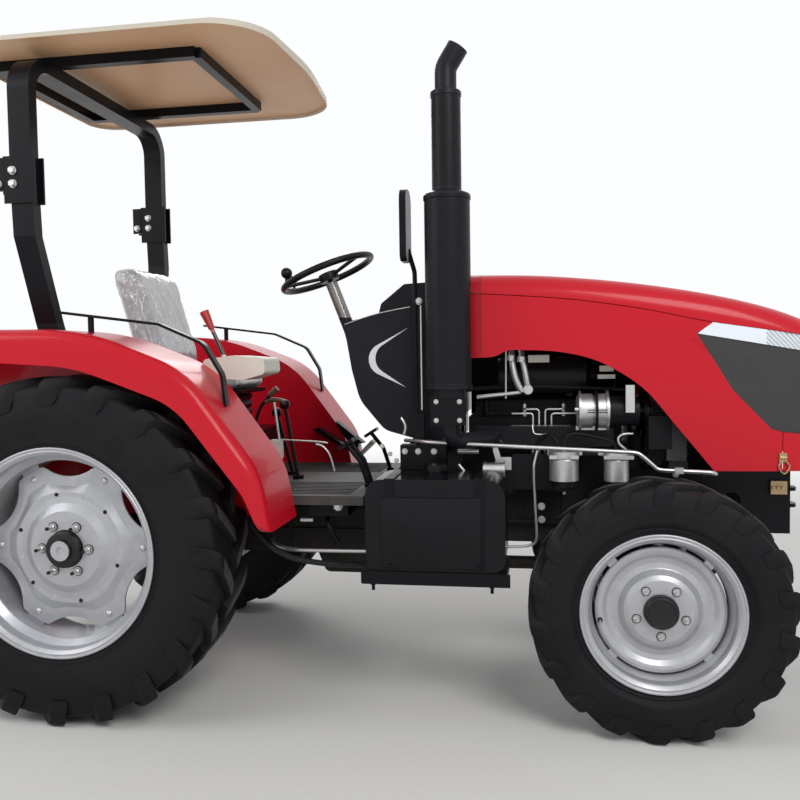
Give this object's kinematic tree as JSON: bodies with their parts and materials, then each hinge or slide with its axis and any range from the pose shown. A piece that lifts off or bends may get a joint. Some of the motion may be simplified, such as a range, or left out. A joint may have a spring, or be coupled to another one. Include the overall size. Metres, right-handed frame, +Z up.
{
  "type": "farm tractor",
  "caption": "Four-wheel-drive farm tractor with open platform, roll bar with sunshade, tilting hood, steered front axle and rear three-point linkage.",
  "frame": {"origin": "on the ground, in the middle of the overall length and width", "axes": "+X forward, +Y to the left of the driver, +Z up"},
  "size_m": [3.8249, 1.675, 2.5602],
  "materials": {
    "red_paint": "gloss",
    "tyre": "matte",
    "silver_paint": "satin",
    "black_paint": "semi-gloss",
    "cast_iron": "painted matte",
    "bright_steel": "brushed",
    "black_plastic": "satin",
    "cream_plastic": "satin",
    "lamp_chrome": "polished",
    "red_lens": "clear gloss",
    "seat_cover": "smooth"
  },
  "bodies": {
    "chassis": {"battery_box": "black_plastic", "bulkhead": "black_paint", "console": "cream_plastic", "dash_cowl": "black_plastic", "drive_shaft": "cast_iron", "engine": "cast_iron", "engine_fittings": "cast_iron", "exhaust": "black_paint", "fan": "black_plastic", "fender_l": "red_paint", "fender_r": "red_paint", "foot_controls": "black_paint", "front_axle": "cast_iron", "front_frame": "black_paint", "fuel_tank": "black_plastic", "grab_rails": "black_paint", "mirror": "black_paint", "platform": "black_paint", "radiator": "bright_steel", "rear_axle": "cast_iron", "rear_hitch": "cast_iron", "roll_bar_hoop": "black_paint", "roll_bar_legs": "black_paint", "seat_back": "seat_cover", "seat_base": "black_paint", "seat_cushion": "seat_cover", "shade_frame": "black_paint", "side_trays": "black_paint", "sunshade": "cream_plastic", "tail_lamps": "red_lens", "transmission": "cast_iron"},
    "wheel_rl": {"rear_tyre_l": "tyre", "rear_wheel_l": "silver_paint"},
    "wheel_rr": {"rear_tyre_r": "tyre", "rear_wheel_r": "silver_paint"},
    "wheel_fl": {"front_tyre_l": "tyre", "front_wheel_l": "silver_paint"},
    "wheel_fr": {"front_tyre_r": "tyre", "front_wheel_r": "silver_paint"},
    "steer_knuckle_l": {"knuckle_l": "cast_iron"},
    "steer_knuckle_r": {"knuckle_r": "cast_iron"},
    "tie_bar": {"track_rod": "cast_iron"},
    "hand_wheel": {"steering_wheel": "black_plastic"},
    "hood": {"hood_top": "red_paint", "side_panel_l": "red_paint", "side_panel_r": "red_paint", "nose_cowl": "red_paint", "headlamps": "lamp_chrome", "grille_mesh": "black_plastic"},
    "draft_links": {"lower_links": "cast_iron"},
    "rock_arms": {"lift_arms": "cast_iron"},
    "side_rods": {"lift_rods": "cast_iron"},
    "upper_link": {"top_link": "cast_iron"}
  },
  "joints": [
    {"name": "rear_left_spin", "type": "hinge", "parent": "chassis", "child": "wheel_rl", "pos_m": [-0.9555, 0.68, 0.635], "axis": [0, 1, 0], "continuous": true},
    {"name": "rear_right_spin", "type": "hinge", "parent": "chassis", "child": "wheel_rr", "pos_m": [-0.9555, -0.68, 0.635], "axis": [0, 1, 0], "continuous": true},
    {"name": "steer_left", "type": "hinge", "parent": "chassis", "child": "steer_knuckle_l", "pos_m": [1.1545, 0.44, 0.445], "axis": [0, 0, 1], "range_deg": [-38, 38]},
    {"name": "steer_right", "type": "hinge", "parent": "chassis", "child": "steer_knuckle_r", "pos_m": [1.1545, -0.44, 0.445], "axis": [0, 0, 1], "range_deg": [-38, 38]},
    {"name": "tie_bar_pivot", "type": "hinge", "parent": "steer_knuckle_l", "child": "tie_bar", "pos_m": [0.9695, 0.44, 0.3673], "axis": [0, 0, 1], "range_deg": [-38, 38]},
    {"name": "front_left_spin", "type": "hinge", "parent": "steer_knuckle_l", "child": "wheel_fl", "pos_m": [1.1545, 0.588, 0.445], "axis": [0, 1, 0], "continuous": true},
    {"name": "front_right_spin", "type": "hinge", "parent": "steer_knuckle_r", "child": "wheel_fr", "pos_m": [1.1545, -0.588, 0.445], "axis": [0, 1, 0], "continuous": true},
    {"name": "hand_wheel_turn", "type": "hinge", "parent": "chassis", "child": "hand_wheel", "pos_m": [-0.1435, 0, 1.682], "axis": [-0.3584, 0, 0.9336], "range_deg": [-532, 532]},
    {"name": "hood_open", "type": "hinge", "parent": "chassis", "child": "hood", "pos_m": [0.5165, 0, 1.596], "axis": [0, -1, 0], "range_deg": [0, 50]},
    {"name": "linkage_lift", "type": "hinge", "parent": "chassis", "child": "draft_links", "pos_m": [-1.0755, 0, 0.43], "axis": [0, 1, 0], "range_deg": [-15, 24]},
    {"name": "rock_arm_turn", "type": "hinge", "parent": "chassis", "child": "rock_arms", "pos_m": [-1.0855, 0, 0.93], "axis": [0, 1, 0], "range_deg": [-16.5, 26]},
    {"name": "upper_link_swing", "type": "hinge", "parent": "chassis", "child": "upper_link", "pos_m": [-1.2305, 0, 0.805], "axis": [0, 1, 0], "range_deg": [-25, 35]},
    {"name": "side_rod_turn", "type": "hinge", "parent": "rock_arms", "child": "side_rods", "pos_m": [-1.3955, 0, 0.89], "axis": [0, 1, 0], "range_deg": [-29, 18.5]}
  ],
  "couplings": [
    {"joint": "steer_right", "follows": "steer_left", "ratio": 1},
    {"joint": "tie_bar_pivot", "follows": "steer_left", "ratio": -1},
    {"joint": "hand_wheel_turn", "follows": "steer_left", "ratio": 14},
    {"joint": "rock_arm_turn", "follows": "linkage_lift", "ratio": 1.051},
    {"joint": "side_rod_turn", "follows": "linkage_lift", "ratio": -1.181}
  ]
}
